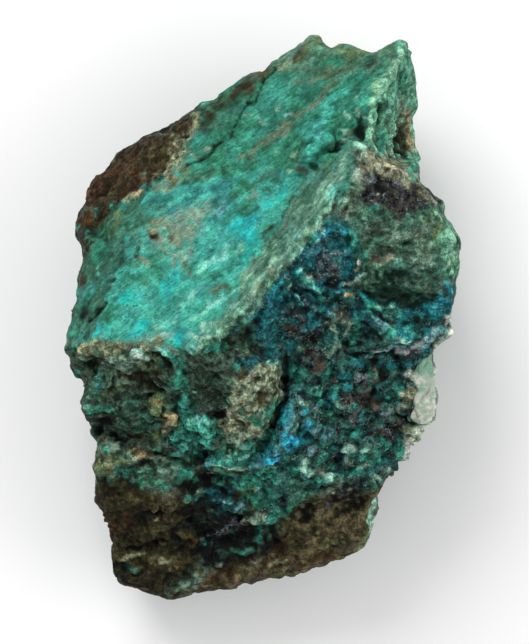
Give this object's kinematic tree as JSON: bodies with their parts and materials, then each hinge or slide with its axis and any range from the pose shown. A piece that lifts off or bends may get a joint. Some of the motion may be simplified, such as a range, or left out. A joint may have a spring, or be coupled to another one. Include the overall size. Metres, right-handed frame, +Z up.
{
  "type": "chrysocolla specimen",
  "caption": "Rough hand-sized piece of blue-green chrysocolla in dark matrix rock, lying on its flattest side with its smooth face up.",
  "frame": {"origin": "middle of the stone's bounding box, on the surface it rests on", "axes": "+Z up from the resting face, +Y along the stone's length towards its tall slip-face end, +X towards the dark blue granular side"},
  "size_m": [0.0552, 0.0796, 0.0371],
  "materials": {
    "chrysocolla": "dull, rough, with small glassy crystals"
  },
  "bodies": {
    "root": {"chrysocolla_stone": "chrysocolla"}
  },
  "joints": []
}
